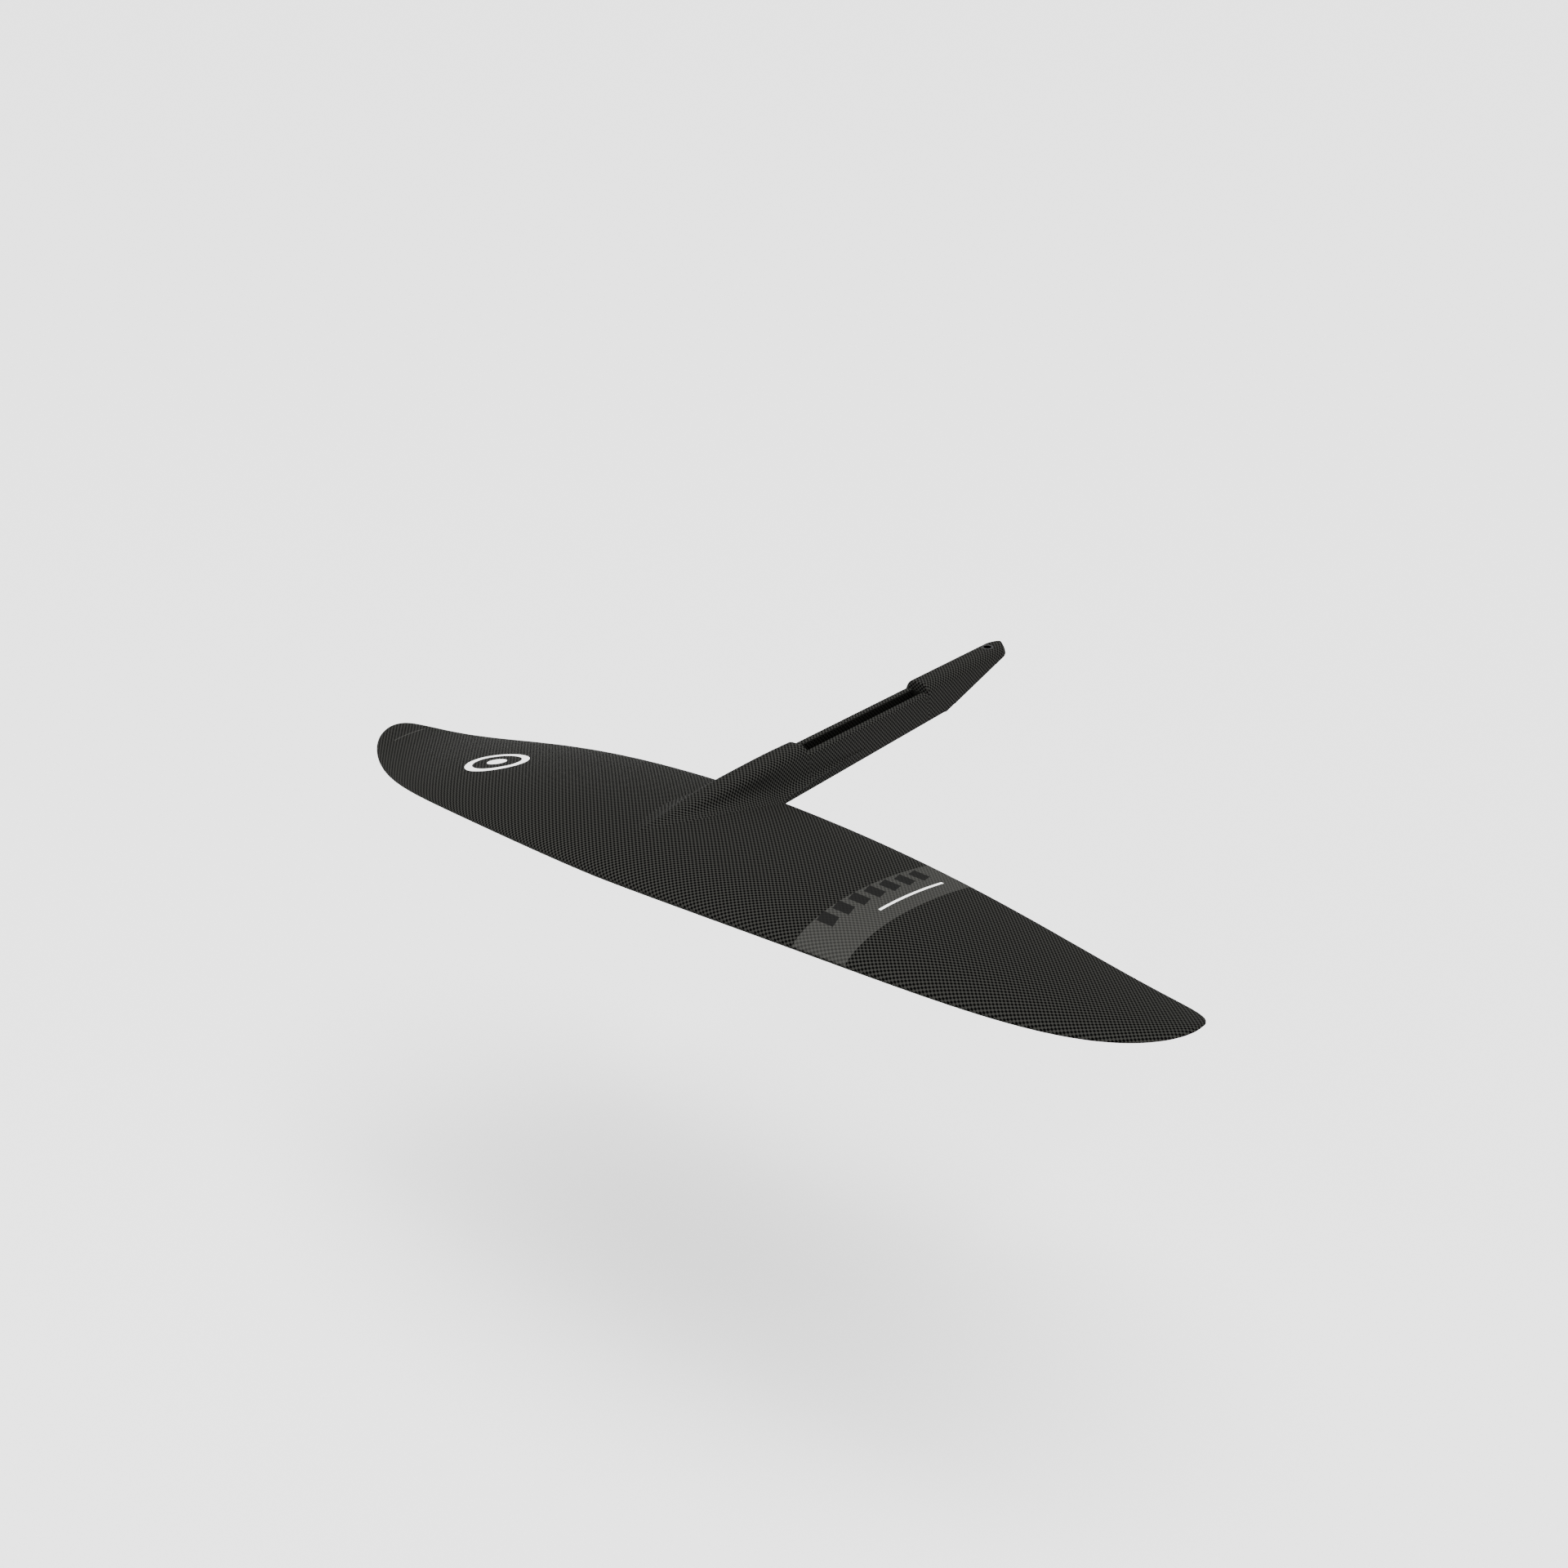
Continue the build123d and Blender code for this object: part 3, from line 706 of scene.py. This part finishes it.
# %% [markdown]
# Finishes
#
# Woven carbon is drawn from the cloth map: a plain weave along and across, with each tow a
# little pillow. Two greys for the two directions stand for the way the fibres catch the light
# along one direction only. The resin over it is sanded to a satin that hardly mirrors anything.

# %% [markdown]
# Carbon cloth
#
# The tows are about 1.7 mm wide. The two greys are both very dark, because carbon under
# satin resin gives back little light, and the shine is set far below that of bare resin.

# %% Carbon cloth
tow = 0.0017


def weave(tree, dark, light):
    """Colour and height of a plain weave, from the cloth map, one tow to a unit."""
    cloth = add(tree, "ShaderNodeUVMap", uv_map="cloth")
    per_tow = (1 / tow, 1 / tow, 1 / tow)
    turned = add(tree, "ShaderNodeMapping", {"Vector": cloth.outputs["UV"], "Scale": per_tow})
    split = add(tree, "ShaderNodeSeparateXYZ", {"Vector": turned.outputs["Vector"]})
    humps = []
    for axis in ("X", "Y"):
        place = split.outputs[axis]
        phase = add(tree, "ShaderNodeMath", {0: place, 1: math.pi}, operation="MULTIPLY")
        wave = add(tree, "ShaderNodeMath", {0: phase.outputs[0]}, operation="SINE")
        humps.append(wave.outputs[0])
    product = add(tree, "ShaderNodeMath", {0: humps[0], 1: humps[1]}, operation="MULTIPLY")
    height = add(tree, "ShaderNodeMath", {0: product.outputs[0]}, operation="ABSOLUTE")
    # The two greys are the weave pattern and a painted sheen: one direction's tows lighter, as if catching
    # the light.
    limits = {"Value": product.outputs[0], "From Min": -0.35, "From Max": 0.35}
    tone = add(tree, "ShaderNodeMapRange", limits)
    greys = {"Factor": tone.outputs["Result"], 6: linear(dark), 7: linear(light)}
    grain = add(tree, "ShaderNodeMix", greys, data_type="RGBA")
    return grain.outputs[2], height.outputs[0]


def carbon_material(name, dark, light, rough, prints):
    """Woven carbon in satin resin; prints adds ink to the colour if it is given."""
    material, tree, output = new_material(name)
    colour, height = weave(tree, dark, light)
    if prints:
        colour = prints(tree, colour)
    bump = add(tree, "ShaderNodeBump", {"Strength": 0.5, "Distance": 0.0001, "Height": height})
    # Fibre under sanded resin: no metal, and less shine than bare resin, for a satin black.
    surface = {"Base Color": colour, "Roughness": rough, "Normal": bump.outputs["Normal"]}
    surface |= {"IOR": 1.5, "Specular IOR Level": 0.015}
    cloth = add(tree, "ShaderNodeBsdfPrincipled", surface)
    tree.links.new(cloth.outputs["BSDF"], output.inputs["Surface"])
    return material


# %% [markdown]
# Prints
#
# The ink is thin: a grey band across one wing, a row of dark slanted blocks and a white line on
# it, and a plain white ring with a dot on the other wing. Each is a mask worked out from the
# place on the wing in metres. The cloth still shows through the grey because its colour is a
# mixture of ink and cloth.


# %% Prints
# Places and half sizes in metres, in plan.
band_centre, band_half, band_turn = (0.1672, -0.19), (0.0172, 0.15), math.radians(1.5)
blocks, block_x, first_block_y, block_step = 7, 0.157, -0.2375, 0.0165
block_half = (0.0058, 0.0052)
line_centre, line_half = (0.172, -0.1675), (0.0009, 0.0365)
# The last place and half size are those of a painted highlight: a faint pale line near the left tip.
tip_highlight_centre, tip_highlight_half = (-0.346, -0.1445), (0.0004, 0.019)
ring_centre, ring_radius, ring_half_width, dot_radius = (-0.195, -0.190), 0.0215, 0.0028, 0.0075


def patch(tree, place, centre, half, turn=0.0):
    """Mask of a turned rectangle: the larger of the two scaled distances is under one."""
    frame_of = {"Vector": place, "Location": (*centre, 0), "Rotation": (0, 0, turn)}
    frame_of |= {"Scale": (*half, 1)}
    moved = add(tree, "ShaderNodeMapping", frame_of, vector_type="TEXTURE")
    split = add(tree, "ShaderNodeSeparateXYZ", {"Vector": moved.outputs["Vector"]})
    sides = []
    for axis in "XY":
        side = add(tree, "ShaderNodeMath", {0: split.outputs[axis]}, operation="ABSOLUTE")
        sides.append(side.outputs[0])
    widest = add(tree, "ShaderNodeMath", {0: sides[0], 1: sides[1]}, operation="MAXIMUM")
    mask = add(tree, "ShaderNodeMath", {0: widest.outputs[0], 1: 1.0}, operation="LESS_THAN")
    return mask.outputs[0]


def ink(tree, colour, mask, code, cover):
    """Lay an ink over a colour where the mask is one."""
    amount = add(tree, "ShaderNodeMath", {0: mask, 1: cover}, operation="MULTIPLY")
    layers = {"Factor": amount.outputs[0], 6: colour, 7: linear(code)}
    mixed = add(tree, "ShaderNodeMix", layers, data_type="RGBA")
    return mixed.outputs[2]


def wing_prints(tree, colour):
    """Band, blocks and line on the right wing; ring and dot on the left wing, and a faint painted highlight
    near its tip.
    """
    place = add(tree, "ShaderNodeTexCoord").outputs["Object"]
    upper = add(tree, "ShaderNodeAttribute", attribute_name="upper_side").outputs["Fac"]
    band = patch(tree, place, band_centre, band_half, band_turn)
    band = add(tree, "ShaderNodeMath", {0: band, 1: upper}, operation="MULTIPLY").outputs[0]
    colour = ink(tree, colour, band, "#5a5a57", 0.16)
    for block in range(blocks):
        block_centre = (block_x, first_block_y + block_step * block)
        mark = patch(tree, place, block_centre, block_half, math.radians(14))
        mark = add(tree, "ShaderNodeMath", {0: mark, 1: upper}, operation="MULTIPLY").outputs[0]
        colour = ink(tree, colour, mark, "#101010", 0.85)
    line = patch(tree, place, line_centre, line_half, band_turn)
    # A faint pale line near the left wing tip: a painted highlight where the tip curves, not ink.
    tip_highlight = patch(tree, place, tip_highlight_centre, tip_highlight_half, math.radians(9))
    tip_highlight = add(tree, "ShaderNodeMath", {0: tip_highlight, 1: upper}, operation="MULTIPLY").outputs[0]
    colour = ink(tree, colour, tip_highlight, "#6a6a66", 0.22)
    flat = add(tree, "ShaderNodeVectorMath", {0: place, 1: (1, 1, 0)}, operation="MULTIPLY")
    away = add(tree, "ShaderNodeVectorMath", {0: flat.outputs[0], 1: (*ring_centre, 0)}, operation="DISTANCE")
    away = away.outputs["Value"]
    limits = {0: away, 1: ring_radius, 2: ring_half_width}
    circle = add(tree, "ShaderNodeMath", limits, operation="COMPARE")
    dot = add(tree, "ShaderNodeMath", {0: away, 1: dot_radius}, operation="LESS_THAN")
    for mask in (line, circle.outputs[0], dot.outputs[0]):
        top_only = add(tree, "ShaderNodeMath", {0: mask, 1: upper}, operation="MULTIPLY").outputs[0]
        colour = ink(tree, colour, top_only, "#f4f4f2", 1.0)
    return colour


wing_carbon = carbon_material("woven_carbon_wing", "#010101", "#282826", 0.75, wing_prints)
body_carbon = carbon_material("woven_carbon_fuselage", "#010101", "#2a2a28", 0.7, None)
# The socket's greys are darker than the fuselage's: painted shade for the inside of the slot.
socket_carbon_painted_shade = carbon_material("carbon_socket_with_painted_shade", "#020202", "#1e1e1c", 0.75, None)
print("carbon materials made")


# %% [markdown]
# Metal, foam and inner laminate
#
# The hidden pieces get plain finishes too, so that the model can be opened up: anodised
# ferrules that take the screws, pale foam in the cores and carbon tape on the spar.

# %% Metal, foam and inner laminate
def metal_material():
    """Black anodised aluminium with fine turning marks."""
    material, tree, output = new_material("black_anodised_aluminium")
    place = add(tree, "ShaderNodeTexCoord")
    grain = add(tree, "ShaderNodeTexNoise", {"Vector": place.outputs["Object"], "Scale": 900.0})
    limits = {"Value": grain.outputs["Fac"], "To Min": 0.28, "To Max": 0.4}
    rough = add(tree, "ShaderNodeMapRange", limits)
    surface = {"Base Color": linear("#1c1c1e"), "Metallic": 1.0}
    surface |= {"Roughness": rough.outputs["Result"]}
    metal = add(tree, "ShaderNodeBsdfPrincipled", surface)
    tree.links.new(metal.outputs["BSDF"], output.inputs["Surface"])
    return material


def foam_material():
    """Closed-cell foam: pale, matt, with small cells."""
    material, tree, output = new_material("closed_cell_foam")
    place = add(tree, "ShaderNodeTexCoord")
    cells = add(tree, "ShaderNodeTexVoronoi", {"Vector": place.outputs["Object"], "Scale": 900.0})
    relief = {"Strength": 0.4, "Distance": 0.0002, "Height": cells.outputs["Distance"]}
    bump = add(tree, "ShaderNodeBump", relief)
    surface = {"Base Color": linear("#d9cfae"), "Roughness": 0.9}
    surface |= {"Normal": bump.outputs["Normal"]}
    foam = add(tree, "ShaderNodeBsdfPrincipled", surface)
    tree.links.new(foam.outputs["BSDF"], output.inputs["Surface"])
    return material


def tape_material():
    """Unidirectional carbon tape: fine dark streaks along the span."""
    material, tree, output = new_material("carbon_tape")
    place = add(tree, "ShaderNodeTexCoord")
    stretch = {"Vector": place.outputs["Object"], "Scale": (20, 1500, 1500)}
    drawn = add(tree, "ShaderNodeMapping", stretch)
    streaks = add(tree, "ShaderNodeTexNoise", {"Vector": drawn.outputs["Vector"], "Scale": 1.0})
    shade = add(tree, "ShaderNodeValToRGB", {"Fac": streaks.outputs["Fac"]})
    shade.color_ramp.elements[0].color = linear("#101010")
    shade.color_ramp.elements[1].color = linear("#2c2c2c")
    surface = {"Base Color": shade.outputs["Color"], "Roughness": 0.45}
    tape = add(tree, "ShaderNodeBsdfPrincipled", surface)
    tree.links.new(tape.outputs["BSDF"], output.inputs["Surface"])
    return material


metal, foam, tape = metal_material(), foam_material(), tape_material()

# %% [markdown]
# Putting the pieces into the frame
#
# Each new piece hides the parts of the engineering model that it stands for, and moves with
# the one body of the object. Whatever isn't replaced keeps its own mesh and only gets a finish.

# %% Assemble
wing.data.materials.append(wing_carbon)
fuselage.data.materials.append(body_carbon)
liner.data.materials.append(socket_carbon_painted_shade)
wing_nodes = ("upper_skin", "lower_skin", "leading_edge", "trailing_edge", "tip_right", "tip_left")
fuselage_nodes = ("fuselage_shell", "root_fillet_right", "root_fillet_left")
liner_nodes = ("mast_socket",)
for made, slot_name, nodes in (
    (wing, "carbon_skin", wing_nodes),
    (fuselage, "carbon_skin", fuselage_nodes),
    (liner, "carbon_socket", liner_nodes),
):
    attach(made, "root")
    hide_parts(*nodes)

replaced = {*wing_nodes, *fuselage_nodes, *liner_nodes}
for name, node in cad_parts.items():
    if name in replaced:
        continue
    finish = metal if "ferrule" in name else foam if "core" in name else tape
    node.data.materials.clear()
    node.data.materials.append(finish)
    print(name, "wears", finish.name)
